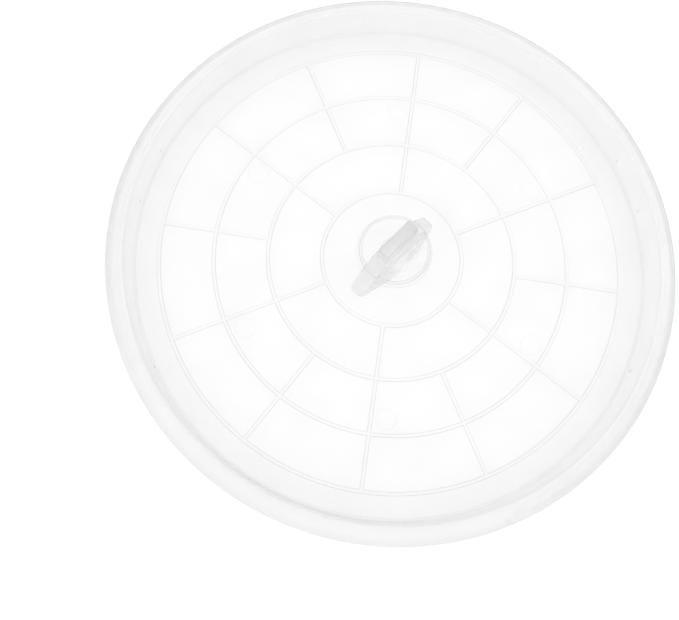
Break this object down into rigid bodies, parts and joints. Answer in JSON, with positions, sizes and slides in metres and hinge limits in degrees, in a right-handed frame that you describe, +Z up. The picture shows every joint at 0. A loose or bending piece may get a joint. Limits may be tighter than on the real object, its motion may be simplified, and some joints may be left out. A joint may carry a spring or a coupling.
{
  "type": "food dehydrator lid",
  "caption": "Round milky-clear cover lid with a ribbed dish-shaped floor, an outer skirt and a turning central vent knob.",
  "frame": {"origin": "on the lid's axis at the underside of its flat floor, where it rests", "axes": "+Z up along the lid's and the knob's axis; +X through the two vent ports and along the knob's grip at rest"},
  "size_m": [0.3, 0.3, 0.032],
  "materials": {
    "clear_lid_plastic": "milky-clear moulded polypropylene, satin gloss",
    "milky_knob_plastic": "milky-clear moulded polypropylene, thicker and cloudier"
  },
  "bodies": {
    "lid": {"lid_cover": "clear_lid_plastic"},
    "knob": {"vent_knob": "milky_knob_plastic", "stem_retainer": "milky_knob_plastic"}
  },
  "joints": [
    {"name": "vent_turn", "type": "hinge", "parent": "lid", "child": "knob", "pos_m": [0, 0, 0.006], "axis": [0, 0, 1], "range_deg": [0, 90]}
  ]
}
